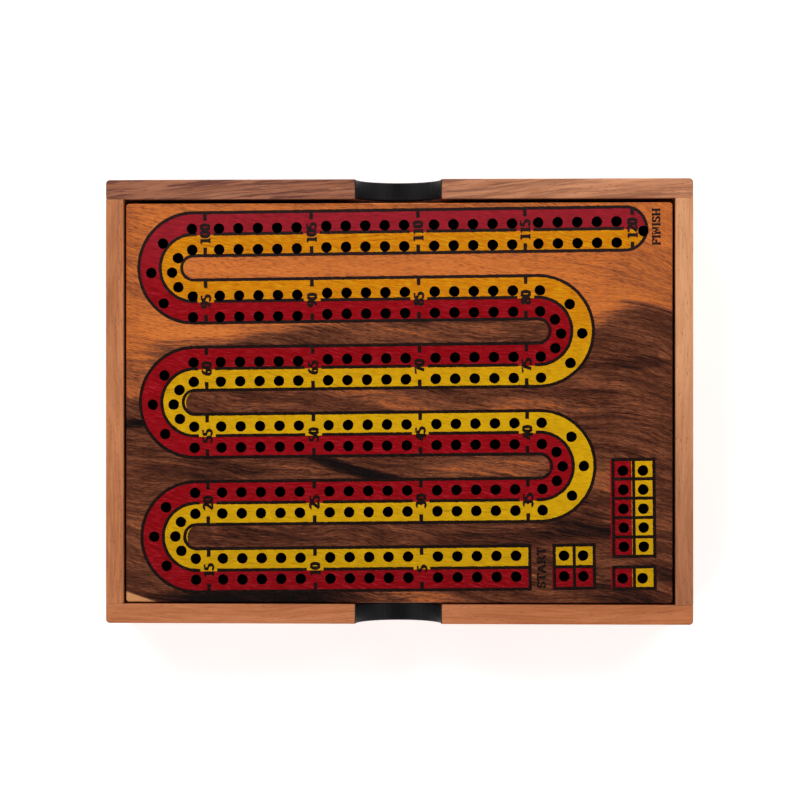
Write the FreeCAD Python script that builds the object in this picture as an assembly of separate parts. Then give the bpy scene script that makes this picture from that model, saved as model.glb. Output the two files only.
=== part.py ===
"""Boxed cribbage board: a peg board that lies in a shallow wooden box and lifts out over four wells.

Millimetres. The origin is the centre of the box's underside. +X runs along the box's long side,
+Y towards the rear rail and +Z up. Each function returns one node's shape.
"""
import FreeCAD, Part
import math
import os

from FreeCAD import Vector

# Box
BOX_X = 210.0
BOX_Y = 159.0
BOX_Z = 36.0
RAIL = 7.0              # thickness of the long rails
SIDE_RAIL = 6.3         # thickness of the short rails
CORNER_R = 1.4          # rounded upright corners of the box
EASE = 0.5              # sanded outer edges of the rails
INNER_EASE = 0.3        # sanded inner edges of the rails
NOTCH_R = 15.2          # finger notch, a half round about the rim
NOTCH_EASE = 1.0        # rounded arris of the notch on the inside

# Base panel, let into a rebate along the foot of the rails
BASE = 4.0
REBATE = 3.5

# Playing board
BOARD_X = 195.6
BOARD_Y = 143.0
BOARD_Z = 10.0
BOARD_SHIFT_X = -0.1    # the loose board lies a little towards the front left of its recess
BOARD_SHIFT_Y = -0.5
BOARD_R = 1.2
BOARD_EASE = 0.6
RECESS = 1.0            # board's face below the rim

# Peg holes
HOLE_R = 1.8
HOLE_DEPTH = 7.5
DRILL_POINT = 118.0     # included angle of the drill's point, in degrees
HOLE_PITCH = 6.97       # between holes in a group of five
GROUP_PITCH = 38.55     # between groups of five
LAST_GROUP_PITCH = 37.2  # to the last group of the top run
PAIR_PITCH = 23.66      # between the centre lines of neighbouring runs
LANE_OFFSET = 3.77      # from a run's centre line to either row of holes
BEND_RUN = 9.7          # from the last hole of a straight to the first of its bend
BEND_TUCK = 0.74        # how far a bend's three middle holes lie inside its lane's arc
FINISH_RUN = 9.5        # from hole 120 to the finish hole
RUNS = 6
GROUPS = 3
PATTERN_X = -11.15      # centre of the runs, from the centre of the box
PATTERN_Y = -0.28
PATTERN_TURN = 0.68     # the drilling jig sits slightly askew on the board, in degrees

# Parts of the pattern that are drilled out of line: range of X, range of Y, shift towards the rear
STRAYS = [
    ((-90.0, -20.0), (26.0, 42.0), -0.5),
    ((-70.0, -20.0), (14.0, 18.0), -0.55),
    ((-20.0, 57.0), (55.0, 66.0), 0.3),
    ((57.0, 90.0), (55.0, 66.0), 0.5),
    ((90.0, 110.0), (55.0, 66.0), 0.75),
]

# Small blocks of holes at the right of the board: centre of the block, from PATTERN_X, PATTERN_Y
START_BLOCK = (73.0, -59.25)
GAMES_BLOCK = (94.5, -39.05)
MATCH_BLOCK = (93.9, -63.85)
START_PITCH = (6.82, 7.34)
GAMES_PITCH = (7.05, 6.78)

# Wells inside the box
LEDGE = 5.0             # strips along the short rails that carry the board
DIVIDER = 4.0
DADO = 1.5
RELIEF_X = 17.0         # finger relief at the ends of the cross divider
RELIEF_Z = 7.0

# Brads
BRAD_R = 0.6
BRAD_HEAD_R = 1.0
BRAD_HEAD = 0.8
BRAD_POINT = 1.2
CORNER_BRAD = 20.0
BASE_BRAD = 14.0
CORNER_BRAD_Z = (11.0, 26.0)
BASE_BRAD_X = (-81.0, -27.0, 27.0, 81.0)
BASE_BRAD_Y = (-52.0, 0.0, 52.0)

# Cards
CARD_X = 88.9
CARD_Y = 63.5
CARD_R = 3.2
CARD = 0.295
CARDS = 52

# Pegs
PEG_TIP_R = 1.45
PEG_SHANK_R = 1.65
PEG_SHANK = 13.0
PEG_COLLAR_R = 2.1
PEG_WAIST_R = 1.4
PEG_HEAD_R = 2.9
PEG_HEAD_Z = 23.0       # centre of the round head, from the tip
PEG_GAP = 0.1           # clearance under a peg that lies in its well
PEG_SPREAD = ((-14.0, 13.0, 6.0), (3.0, -1.0, -9.0), (-8.0, -15.0, 4.0))  # x, y in the well, and yaw

INNER_X = BOX_X / 2 - SIDE_RAIL
INNER_Y = BOX_Y / 2 - RAIL
BOARD_TOP = BOX_Z - RECESS
WELL_TOP = BOARD_TOP - BOARD_Z
WELL_Z = WELL_TOP - BASE
WELL_X = INNER_X - LEDGE


def box(x0, y0, z0, x1, y1, z1):
    """A block between two corners."""
    return Part.makeBox(x1 - x0, y1 - y0, z1 - z0, Vector(x0, y0, z0))


def fillet(shape, radius, chosen):
    """Rounds the edges for which chosen(edge) is true."""
    edges = [e for e in shape.Edges if chosen(e)]
    return shape.makeFillet(radius, edges)


def upright(edge):
    """Is this edge parallel to Z?"""
    a, b = edge.Vertexes[0].Point, edge.Vertexes[-1].Point
    return abs(a.x - b.x) < 1e-6 and abs(a.y - b.y) < 1e-6 and abs(a.z - b.z) > 1e-6


def level(edge, z):
    """Does this whole edge lie at height z?"""
    return edge.BoundBox.ZLength < 1e-3 and abs(edge.Vertexes[0].Z - z) < 1e-6


def at_y(edge, y):
    """Does this whole edge lie in the plane at y?"""
    return edge.BoundBox.YLength < 1e-3 and abs(edge.Vertexes[0].Y - y) < 1e-6


def at_x(edge, x):
    """Does this whole edge lie in the plane at x?"""
    return edge.BoundBox.XLength < 1e-3 and abs(edge.Vertexes[0].X - x) < 1e-6


def solid_of(shape):
    """The one solid in a boolean's result."""
    solids = shape.Solids
    if len(solids) != 1:
        raise ValueError(f"expected one solid, found {len(solids)}")
    return solids[0]


# Brads

def brad(length, foot, direction):
    """A headed brad whose head's face is at foot and which points along direction."""
    points = [
        Vector(0, 0, 0),
        Vector(BRAD_HEAD_R, 0, 0),
        Vector(BRAD_HEAD_R, 0, BRAD_HEAD),
        Vector(BRAD_R, 0, BRAD_HEAD),
        Vector(BRAD_R, 0, length - BRAD_POINT),
        Vector(0, 0, length),
        Vector(0, 0, 0),
    ]
    profile = Part.Face(Part.makePolygon(points))
    shape = profile.revolve(Vector(0, 0, 0), Vector(0, 0, 1), 360)
    turn = FreeCAD.Rotation(Vector(0, 0, 1), direction)
    shape.Placement = FreeCAD.Placement(foot, turn)
    return shape


def corner_brads():
    """Two brads in each corner, through a long rail and into the end of a short rail."""
    brads = []
    for side in (-1, 1):
        for end in (-1, 1):
            for z in CORNER_BRAD_Z:
                foot = Vector(end * (BOX_X - SIDE_RAIL) / 2, side * BOX_Y / 2, z)
                brads.append(brad(CORNER_BRAD, foot, Vector(0, -side, 0)))
    return Part.makeCompound(brads)


def base_brads():
    """Brads up through the base panel into the rails."""
    along_y = INNER_Y + REBATE / 2
    along_x = INNER_X + REBATE / 2
    feet = [(x, side * along_y) for side in (-1, 1) for x in BASE_BRAD_X]
    feet += [(side * along_x, y) for side in (-1, 1) for y in BASE_BRAD_Y]
    return Part.makeCompound([brad(BASE_BRAD, Vector(x, y, 0), Vector(0, 0, 1)) for x, y in feet])


# Box

def base_recess():
    """The space that the base panel fills."""
    x, y = INNER_X + REBATE, INNER_Y + REBATE
    return box(-x, -y, 0, x, y, BASE)


def base_panel():
    return solid_of(base_recess().cut(base_brads()))


def cross_dado(side):
    """The groove in a long rail that holds an end of the cross divider."""
    inner = side * INNER_Y
    outer = side * (INNER_Y + DADO)
    low, high = min(inner, outer), max(inner, outer)
    return box(-DIVIDER / 2, low, BASE, DIVIDER / 2, high, WELL_TOP - RELIEF_Z)


def notched_rail(side):
    """A long rail's outer shape: rounded upright corners, a half-round finger notch and eased edges."""
    outer = side * BOX_Y / 2
    inner = side * INNER_Y
    low, high = min(inner, outer), max(inner, outer)
    rail = box(-BOX_X / 2, low, 0, BOX_X / 2, high, BOX_Z)
    rail = fillet(rail, CORNER_R, lambda e: upright(e) and at_y(e, outer))
    notch = Part.makeCylinder(NOTCH_R, RAIL + 2, Vector(0, low - 1, BOX_Z), Vector(0, 1, 0))
    rail = rail.cut(notch)
    rail = fillet(rail, NOTCH_EASE, lambda e: at_y(e, inner) and e.BoundBox.ZLength > NOTCH_R - 1
                  and e.BoundBox.XLength > NOTCH_R)
    rail = fillet(rail, INNER_EASE, lambda e: at_y(e, inner) and level(e, BOX_Z))
    return fillet(rail, EASE, lambda e: at_y(e, outer) and level(e, BOX_Z))


def long_rail(side):
    """The front rail (side -1) or rear rail (side 1)."""
    rail = notched_rail(side).cut(Part.makeCompound([base_recess(), cross_dado(side)]))
    return solid_of(rail.cut(Part.makeCompound([corner_brads(), base_brads()])))


def short_rail(side):
    """The left rail (side -1) or right rail (side 1), butted between the long rails."""
    outer = side * BOX_X / 2
    inner = side * INNER_X
    low, high = min(inner, outer), max(inner, outer)
    rail = box(low, -INNER_Y, 0, high, INNER_Y, BOX_Z)
    rail = fillet(rail, INNER_EASE, lambda e: at_x(e, inner) and level(e, BOX_Z))
    rail = fillet(rail, EASE, lambda e: at_x(e, outer) and level(e, BOX_Z))
    rail = rail.cut(base_recess())
    return solid_of(rail.cut(Part.makeCompound([corner_brads(), base_brads()])))


def ledge(side):
    """A strip along a short rail that carries the board's end and holds an end of the long divider."""
    inner, outer = side * WELL_X, side * INNER_X
    low, high = min(inner, outer), max(inner, outer)
    strip = box(low, -INNER_Y, BASE, high, INNER_Y, WELL_TOP)
    groove_end = side * (WELL_X + DADO)
    low, high = min(inner, groove_end), max(inner, groove_end)
    groove = box(low, -DIVIDER / 2, BASE, high, DIVIDER / 2, WELL_TOP)
    return solid_of(strip.cut(groove))


def long_divider():
    """The divider along X, slotted from above at its middle."""
    x, t = WELL_X + DADO, DIVIDER / 2
    strip = box(-x, -t, BASE, x, t, WELL_TOP)
    return solid_of(strip.cut(box(-t, -t, BASE + WELL_Z / 2, t, t, WELL_TOP)))


def cross_divider():
    """The divider along Y, slotted from below at its middle and cut down behind the finger notches."""
    y, t = INNER_Y + DADO, DIVIDER / 2
    strip = box(-t, -y, BASE, t, y, WELL_TOP)
    cuts = [box(-t, -t, BASE, t, t, BASE + WELL_Z / 2)]
    for side in (-1, 1):
        near, far = side * (INNER_Y - RELIEF_X), side * (y + 1)
        cuts.append(box(-t, min(near, far), WELL_TOP - RELIEF_Z, t, max(near, far), WELL_TOP))
    return solid_of(strip.cut(Part.makeCompound(cuts)))


# Playing board

def hole_x(group, index):
    """X of hole index (0 to 4, left to right) in group (0 at the left), from the pattern's centre."""
    shift = LAST_GROUP_PITCH - GROUP_PITCH if group == GROUPS else 0
    return (group - (GROUPS - 1) / 2) * GROUP_PITCH + shift + (index - 2) * HOLE_PITCH


def run_y(run):
    """Y of a run's centre line, from the pattern's centre. Run 0 is nearest the front."""
    return (run - (RUNS - 1) / 2) * PAIR_PITCH


def straight_holes():
    """Both rows of holes along every run, with the last five of the top run."""
    holes = []
    for run in range(RUNS):
        groups = GROUPS + 1 if run == RUNS - 1 else GROUPS
        for group in range(groups):
            for index in range(5):
                for lane in (-1, 1):
                    holes.append((hole_x(group, index), run_y(run) + lane * LANE_OFFSET))
    return holes


def bend_holes():
    """Five holes of each lane round every bend, 45 degrees apart. Bends alternate left and right."""
    holes = []
    for bend in range(RUNS - 1):
        side = -1 if bend % 2 == 0 else 1
        centre_x = side * (hole_x(GROUPS - 1, 4) + BEND_RUN)
        centre_y = (run_y(bend) + run_y(bend + 1)) / 2
        for lane in (PAIR_PITCH / 2 - LANE_OFFSET, PAIR_PITCH / 2 + LANE_OFFSET):
            for step in range(5):
                radius = lane - BEND_TUCK if step in (1, 2, 3) else lane
                angle = math.radians(-90 + 45 * step)
                x = centre_x + side * radius * math.cos(angle)
                holes.append((x, centre_y + radius * math.sin(angle)))
    return holes


def block_holes(centre, pitch, columns, rows):
    """A block of holes about its centre."""
    return [
        (centre[0] + (c - (columns - 1) / 2) * pitch[0], centre[1] + (r - (rows - 1) / 2) * pitch[1])
        for c in range(columns)
        for r in range(rows)
    ]


def finish_hole():
    return (hole_x(GROUPS, 4) + FINISH_RUN, run_y(RUNS - 1))


def on_board(point):
    """A hole of the pattern in the box's frame, turned with the jig and out of line where it strays."""
    turn = math.radians(PATTERN_TURN)
    x, y = point
    for (left, right), (front, rear), shift in STRAYS:
        if left < x < right and front < point[1] < rear:
            y += shift
    return (
        PATTERN_X + x * math.cos(turn) - y * math.sin(turn),
        PATTERN_Y + x * math.sin(turn) + y * math.cos(turn),
    )


def peg_holes():
    """Every peg hole's place in the box's frame."""
    holes = straight_holes() + bend_holes()
    holes += block_holes(START_BLOCK, START_PITCH, 2, 2)
    holes += block_holes(GAMES_BLOCK, GAMES_PITCH, 2, 5)
    holes += block_holes(MATCH_BLOCK, GAMES_PITCH, 2, 1)
    holes.append(finish_hole())
    return [on_board(h) for h in holes]


def drill_bit():
    """The space that the drill cuts, with its mouth at the origin and its point down."""
    point = HOLE_R / math.tan(math.radians(DRILL_POINT / 2))
    points = [
        Vector(0, 0, 1),
        Vector(HOLE_R, 0, 1),
        Vector(HOLE_R, 0, -HOLE_DEPTH),
        Vector(0, 0, -HOLE_DEPTH - point),
        Vector(0, 0, 1),
    ]
    profile = Part.Face(Part.makePolygon(points))
    return profile.revolve(Vector(0, 0, 0), Vector(0, 0, 1), 360)


def playing_board():
    x, y = BOARD_X / 2, BOARD_Y / 2
    slab = box(-x, -y, WELL_TOP, x, y, BOARD_TOP)
    slab = fillet(slab, BOARD_R, upright)
    slab = fillet(slab, BOARD_EASE, lambda e: level(e, BOARD_TOP) or level(e, WELL_TOP))
    slab.translate(Vector(BOARD_SHIFT_X, BOARD_SHIFT_Y, 0))
    bits = []
    for hx, hy in peg_holes():
        bit = drill_bit()
        bit.translate(Vector(hx, hy, BOARD_TOP))
        bits.append(bit)
    return solid_of(slab.cut(Part.makeCompound(bits)))


# What the wells hold

def well_centre(side_x, side_y):
    """Centre of a well's floor."""
    return Vector(side_x * (WELL_X + DIVIDER / 2) / 2, side_y * (INNER_Y + DIVIDER / 2) / 2, BASE)


def card_deck(side_x):
    """A squared-up deck lying in a rear well."""
    place = well_centre(side_x, 1)
    deck = box(-CARD_X / 2, -CARD_Y / 2, 0, CARD_X / 2, CARD_Y / 2, CARD * CARDS)
    deck = fillet(deck, CARD_R, upright)
    deck.translate(place)
    return solid_of(deck)


def upright_peg():
    """A turned peg standing on its tip at the origin."""
    neck = PEG_HEAD_Z - math.sqrt(PEG_HEAD_R ** 2 - PEG_WAIST_R ** 2)
    collar_z = PEG_SHANK + 1.0
    waist_z = (collar_z + neck) / 2
    tip = 0.5
    top = Vector(0, 0, PEG_HEAD_Z + PEG_HEAD_R)
    side = Vector(PEG_HEAD_R, 0, PEG_HEAD_Z)
    neck_point = Vector(PEG_WAIST_R, 0, neck)
    collar = Vector(PEG_COLLAR_R, 0, collar_z)
    shoulder = Vector(PEG_SHANK_R, 0, PEG_SHANK)
    waist = Vector(PEG_WAIST_R - 0.15, 0, waist_z + 1.0)
    edges = [
        Part.LineSegment(Vector(0, 0, 0), Vector(PEG_TIP_R - tip / 2, 0, 0)),
        Part.LineSegment(Vector(PEG_TIP_R - tip / 2, 0, 0), Vector(PEG_TIP_R, 0, tip)),
        Part.LineSegment(Vector(PEG_TIP_R, 0, tip), shoulder),
        Part.LineSegment(shoulder, collar),
        Part.Arc(collar, waist, neck_point),
        Part.Arc(neck_point, side, top),
        Part.LineSegment(top, Vector(0, 0, 0)),
    ]
    profile = Part.Face(Part.Wire([e.toShape() for e in edges]))
    return profile.revolve(Vector(0, 0, 0), Vector(0, 0, 1), 360)


def lying_peg(side_x, x, y, yaw):
    """A peg that lies in a front well on its tip and its round head."""
    lean = math.degrees(math.atan2(PEG_HEAD_R - PEG_TIP_R, PEG_HEAD_Z))
    peg = upright_peg()
    peg.rotate(Vector(0, 0, 0), Vector(0, 1, 0), 90 - lean)
    floor = peg.optimalBoundingBox(True, False).ZMin
    peg.translate(Vector(-PEG_HEAD_Z / 2, 0, PEG_GAP - floor))
    peg.rotate(Vector(0, 0, 0), Vector(0, 0, 1), yaw)
    peg.translate(well_centre(side_x, -1) + Vector(x, y, 0))
    return solid_of(peg)


def nodes():
    """Every node's name and shape."""
    found = {
        "front_rail": long_rail(-1),
        "rear_rail": long_rail(1),
        "left_rail": short_rail(-1),
        "right_rail": short_rail(1),
        "base_panel": base_panel(),
        "corner_brads": corner_brads(),
        "base_brads": base_brads(),
        "left_ledge": ledge(-1),
        "right_ledge": ledge(1),
        "long_divider": long_divider(),
        "cross_divider": cross_divider(),
        "playing_board": playing_board(),
        "card_deck_left": card_deck(-1),
        "card_deck_right": card_deck(1),
    }
    for number, (x, y, yaw) in enumerate(PEG_SPREAD, 1):
        found[f"red_peg_{number}"] = lying_peg(-1, x, y, yaw)
        found[f"yellow_peg_{number}"] = lying_peg(1, -x, y, 180 - yaw)
    return found


os.makedirs("parts", exist_ok=True)
for name, shape in nodes().items():
    if not shape.isValid():
        raise ValueError(f"{name} isn't a valid shape")
    shape.exportStep(f"parts/{name}.step")
    print(name, len(shape.Solids), "solids", round(shape.Volume), "mm3")
print("peg holes", len(peg_holes()))
for name, point in zip(("red start", "yellow start"), block_holes(START_BLOCK, START_PITCH, 2, 2)):
    print(name, [round(v, 3) for v in on_board(point)])
print("finish", [round(v, 3) for v in on_board(finish_hole())])
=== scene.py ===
"""The looks of a boxed cribbage board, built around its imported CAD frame.

Lengths in this file are millimetres in the frame's own axes: +X along the long rails, +Y towards the
rear rail, +Z up. They become metres where a mesh is made. Inks, cards and pegs are new meshes, the
playing board is a finer mesh of the CAD node's shape, and the CAD rails and dividers get new materials.
"""

from math import asin, atan2, ceil, cos, degrees, dist, hypot, pi, radians, sin, sqrt, tan
import random

import bmesh
import bpy
from mathutils import Matrix, Vector, noise
from mathutils.geometry import delaunay_2d_cdt
import numpy as np


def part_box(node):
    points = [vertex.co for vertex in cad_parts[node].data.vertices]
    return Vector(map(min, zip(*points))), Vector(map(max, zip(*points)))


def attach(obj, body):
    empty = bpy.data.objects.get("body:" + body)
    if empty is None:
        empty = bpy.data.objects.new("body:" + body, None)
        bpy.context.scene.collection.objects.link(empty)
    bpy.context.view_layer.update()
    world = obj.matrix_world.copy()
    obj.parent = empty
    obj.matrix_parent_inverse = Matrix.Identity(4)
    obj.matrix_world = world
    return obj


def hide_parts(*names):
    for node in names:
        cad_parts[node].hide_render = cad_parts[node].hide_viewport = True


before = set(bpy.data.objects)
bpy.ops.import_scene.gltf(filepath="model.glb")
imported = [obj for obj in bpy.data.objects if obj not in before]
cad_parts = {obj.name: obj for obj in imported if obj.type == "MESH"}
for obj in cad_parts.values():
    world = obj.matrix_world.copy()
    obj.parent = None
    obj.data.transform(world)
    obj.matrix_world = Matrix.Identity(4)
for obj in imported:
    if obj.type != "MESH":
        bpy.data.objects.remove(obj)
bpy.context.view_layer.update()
MM = 0.001


def box_of(node):
    """The low and high corners of a CAD node's box."""
    return [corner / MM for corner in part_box(node)]


# The box and the board, from the CAD nodes
RIM = box_of("rear_rail")[1].z
BOARD_LOW, BOARD_HIGH = box_of("playing_board")
BOARD_TOP = BOARD_HIGH.z
BOARD_R = 1.2           # rounded upright corners
BOARD_EASE = 0.6        # sanded edges
NOTCH_R = 15.2          # finger notches, half round about the rim
HOLE_R = 1.8
HOLE_DEPTH = 7.5
DRILL_POINT = 118.0     # included angle of the drill's point, in degrees
HOLE_TIP = HOLE_DEPTH + HOLE_R / tan(radians(DRILL_POINT / 2))

# The printed track, in the print's own frame: u along the runs and v across them
PRINT_X = -11.4
PRINT_Y = 0.4
PRINT_TURN = 0.65       # the print is slightly askew on the board, in degrees
RUNS = 6
PAIR_PITCH = 24.1
LANE = 7.7              # from the middle line to either outline
BEND_U = 61.5           # centres of the bends, either side of the print's centre
LINE = 1.12
START_U = 57.7          # square end of the first run
TICK_PITCH = 38.2
TICK_LENGTH = 2.9
TICK_WIDTH = 1.3
NUMBER_GAP = 3.0        # the middle line stops this far from a number's centre
CAP_U = 2.5 * TICK_PITCH - 2.6      # centre of the rounded end, a little before the tick at 120
UNDERLAP = 0.3          # red runs this far past the middle line's centre, under the yellow
YELLOW_SHIFT = (0.15, -0.35)    # the yellow is printed a little out of register
SPILL = 0.85            # inks fill the inside of each bend this far past the outline's centre
RAGGED = 0.1            # how far the ink's edges wander
INK = 0.03              # thickness of a coat of ink
STEP = 0.45             # spacing of points along the ink's edges

# The printed boxes round the small blocks of holes: centre in the frame, cell, columns, rows, turn in degrees
GAMES_BOX = ((83.95, -37.9), (7.25, 6.9), 2, 5, 0.6)
MATCH_BOX = ((84.15, -62.8), (7.3, 7.7), 2, 1, 0.9)
START_BOX = ((62.8, -58.9), (7.1, 7.7), 2, 2, 0.9)
RED_SPILL = (1.0, 0, -0.3, 0)       # how far the inks of a cell reach past it: left, low, right, high
YELLOW_SPILL = (0.85, 0, -0.1, 0)
START_SPILL = (0.95, 0, 0, 0)

# Lettering, read from the right-hand side: middle of the word in the frame and height of its letters
DIGIT_HEIGHT = 3.7
START_WORD = ("START", (51.0, -59.3), 3.1, 14.6)
FINISH_WORD = ("FINISH", (91.9, 62.3), 3.0, 13.4)

# Peg holes as they look
HOLE_SIDES = 40
HOLE_CHAMFER = 0.12
MOUTH_R = HOLE_R + HOLE_CHAMFER
HOLE_STRAY = 0.13       # how far a hole's mouth is from round

# Cards
CARD_X, CARD_Y, CARD_R = 88.4, 63.0, 3.2
CARDS = 52
CARD_FILL = 0.93        # a card's thickness, as a share of its place in the deck
CARD_STRAY = 0.18       # how far a card lies out of line
CARD_TWIST = 0.05       # and how far it is turned, in degrees

# Pegs, as the CAD part turns and lays them
PEG_TIP_R = 1.45
PEG_SHANK_R = 1.65
PEG_SHANK = 13.0
PEG_COLLAR_R = 2.1
PEG_WAIST_R = 1.4
PEG_HEAD_R = 2.9
PEG_HEAD_Z = 23.0
PEG_GAP = 0.1
PEG_SIDES = 48
PEG_SPREAD = ((-14.0, 13.0, 6.0), (3.0, -1.0, -9.0), (-8.0, -15.0, 4.0))


# ---- Meshes

def linked(name, data):
    """A new object in the scene."""
    piece = bpy.data.objects.new(name, data)
    bpy.context.scene.collection.objects.link(piece)
    return piece


def new_object(name, verts, faces, materials, face_material=None):
    """An object from points in millimetres."""
    mesh = bpy.data.meshes.new(name)
    mesh.from_pydata([(x * MM, y * MM, z * MM) for x, y, z in verts], [], faces)
    for material in materials:
        mesh.materials.append(material)
    if face_material is not None:
        mesh.polygons.foreach_set("material_index", face_material)
    mesh.validate()
    mesh.update()
    return linked(name, mesh)


def weld(piece):
    """Joins points that lie on each other and turns all faces outwards."""
    mesh = bmesh.new()
    mesh.from_mesh(piece.data)
    bmesh.ops.remove_doubles(mesh, verts=mesh.verts, dist=1e-6)
    bmesh.ops.recalc_face_normals(mesh, faces=mesh.faces)
    mesh.to_mesh(piece.data)
    mesh.free()
    return piece


def smooth_by_angle(piece, limit):
    """Smooth shading, but with an edge wherever two faces meet at more than this many degrees."""
    piece.data.polygons.foreach_set("use_smooth", [True] * len(piece.data.polygons))
    piece.data.set_sharp_from_angle(angle=radians(limit))
    return piece


def arc(cx, cy, rx, ry, start, end, count=12):
    """Points along an oval, between two angles in degrees."""
    angles = [radians(start + (end - start) * i / count) for i in range(count + 1)]
    return [(cx + rx * cos(angle), cy + ry * sin(angle)) for angle in angles]


def circle(cx, cy, radius, sides=HOLE_SIDES):
    """Points round a circle."""
    return arc(cx, cy, radius, radius, 0, 360, sides)[:-1]


def mouth(cx, cy):
    """Points round the mouth of a drilled hole, which isn't quite round."""
    points = []
    for x, y in circle(cx, cy, 1.0):
        stray = noise.noise(Vector((cx + 0.8 * (x - cx), cy + 0.8 * (y - cy), 50.0)))
        stray += 0.5 * noise.noise(Vector((cx + 2.2 * (x - cx), cy + 2.2 * (y - cy), 70.0)))
        out = MOUTH_R + HOLE_STRAY * stray
        points.append((cx + out * (x - cx), cy + out * (y - cy)))
    return points


def inside(points, polygon):
    """Which points lie inside a closed polygon, by the even-odd rule."""
    ax, ay = polygon[:, 0], polygon[:, 1]
    bx, by = np.roll(ax, -1), np.roll(ay, -1)
    px, py = points[:, 0:1], points[:, 1:2]
    spans = (ay > py) != (by > py)
    rise = np.where(by == ay, 1.0, by - ay)
    return ((spans & (px < (bx - ax) * (py - ay) / rise + ax)).sum(axis=1) % 2).astype(bool)


def fill(polygons, holes):
    """Triangles over the union of closed polygons, outside the peg holes: (points, triangles)."""
    verts, edges = [], []
    outlines = [np.array(polygon) for polygon in polygons]
    boxes = [(*outline.min(axis=0), *outline.max(axis=0)) for outline in outlines]
    r = MOUTH_R
    near = [(x, y) for x, y in holes
            if any(x0 - r < x < x1 + r and y0 - r < y < y1 + r for x0, y0, x1, y1 in boxes)]
    mouths = [mouth(x, y) for x, y in near]
    for loop in list(polygons) + mouths:
        first = len(verts)
        verts += [Vector(p) for p in loop]
        edges += [(first + i, first + (i + 1) % len(loop)) for i in range(len(loop))]
    points, _, triangles, *_ = delaunay_2d_cdt(verts, edges, [], 1, 1e-5)
    points = np.array([(p[0], p[1]) for p in points])
    triangles = np.array([t for t in triangles if len(t) == 3])
    centres = points[triangles].mean(axis=1)
    keep = np.zeros(len(triangles), bool)
    across, up = centres.T
    for (x0, y0, x1, y1), outline in zip(boxes, outlines):
        close = np.flatnonzero(~keep & (across > x0) & (across < x1) & (up > y0) & (up < y1))
        if len(close):
            keep[close] = inside(centres[close], outline)
    for (x, y), loop in zip(near, mouths):
        close = np.flatnonzero(np.hypot(across - x, up - y) < r + 2 * HOLE_STRAY)
        keep[close] &= ~inside(centres[close], np.array(loop))
    return points, triangles[keep]


def film(name, polygons, thick, holes, paint):
    """A thin closed layer of paint on the board, with the peg holes left open."""
    points, triangles = fill(polygons, holes)
    count = len(points)
    verts = [(x, y, z) for z in (BOARD_TOP, BOARD_TOP + thick) for x, y in points]
    faces = [tuple(int(v) for v in t[::-1]) for t in triangles]
    faces += [tuple(int(v) + count for v in t) for t in triangles]
    sides = [(int(a), int(b)) for t in triangles for a, b in zip(t, np.roll(t, -1))]
    shared = {(b, a) for a, b in sides}
    faces += [(a, b, b + count, a + count) for a, b in sides if (a, b) not in shared]
    return new_object(name, verts, faces, [paint])


# ---- Materials

BLACK = (0.0, 0.0, 0.0, 1.0)
WHITE = (1.0, 1.0, 1.0, 1.0)


def colour(red, green, blue):
    """A linear colour from screen values of 0 to 255."""
    def linear(value):
        value /= 255
        return value / 12.92 if value <= 0.04045 else ((value + 0.055) / 1.055) ** 2.4
    return (linear(red), linear(green), linear(blue), 1.0)


def shade_of(value):
    """Three numbers are a shade in screen values. Anything else stays as it is."""
    return colour(*value) if isinstance(value, tuple) and len(value) == 3 else value


class Number:
    """A number that a node puts out. Sums with it add nodes to its material."""

    def __init__(self, mat, socket):
        self.mat = mat
        self.socket = socket

    def __add__(self, other):
        return self.mat.maths("ADD", self, other)

    def __sub__(self, other):
        return self.mat.maths("SUBTRACT", self, other)

    def __rsub__(self, other):
        return self.mat.maths("SUBTRACT", other, self)

    def __mul__(self, other):
        return self.mat.maths("MULTIPLY", self, other)


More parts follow.
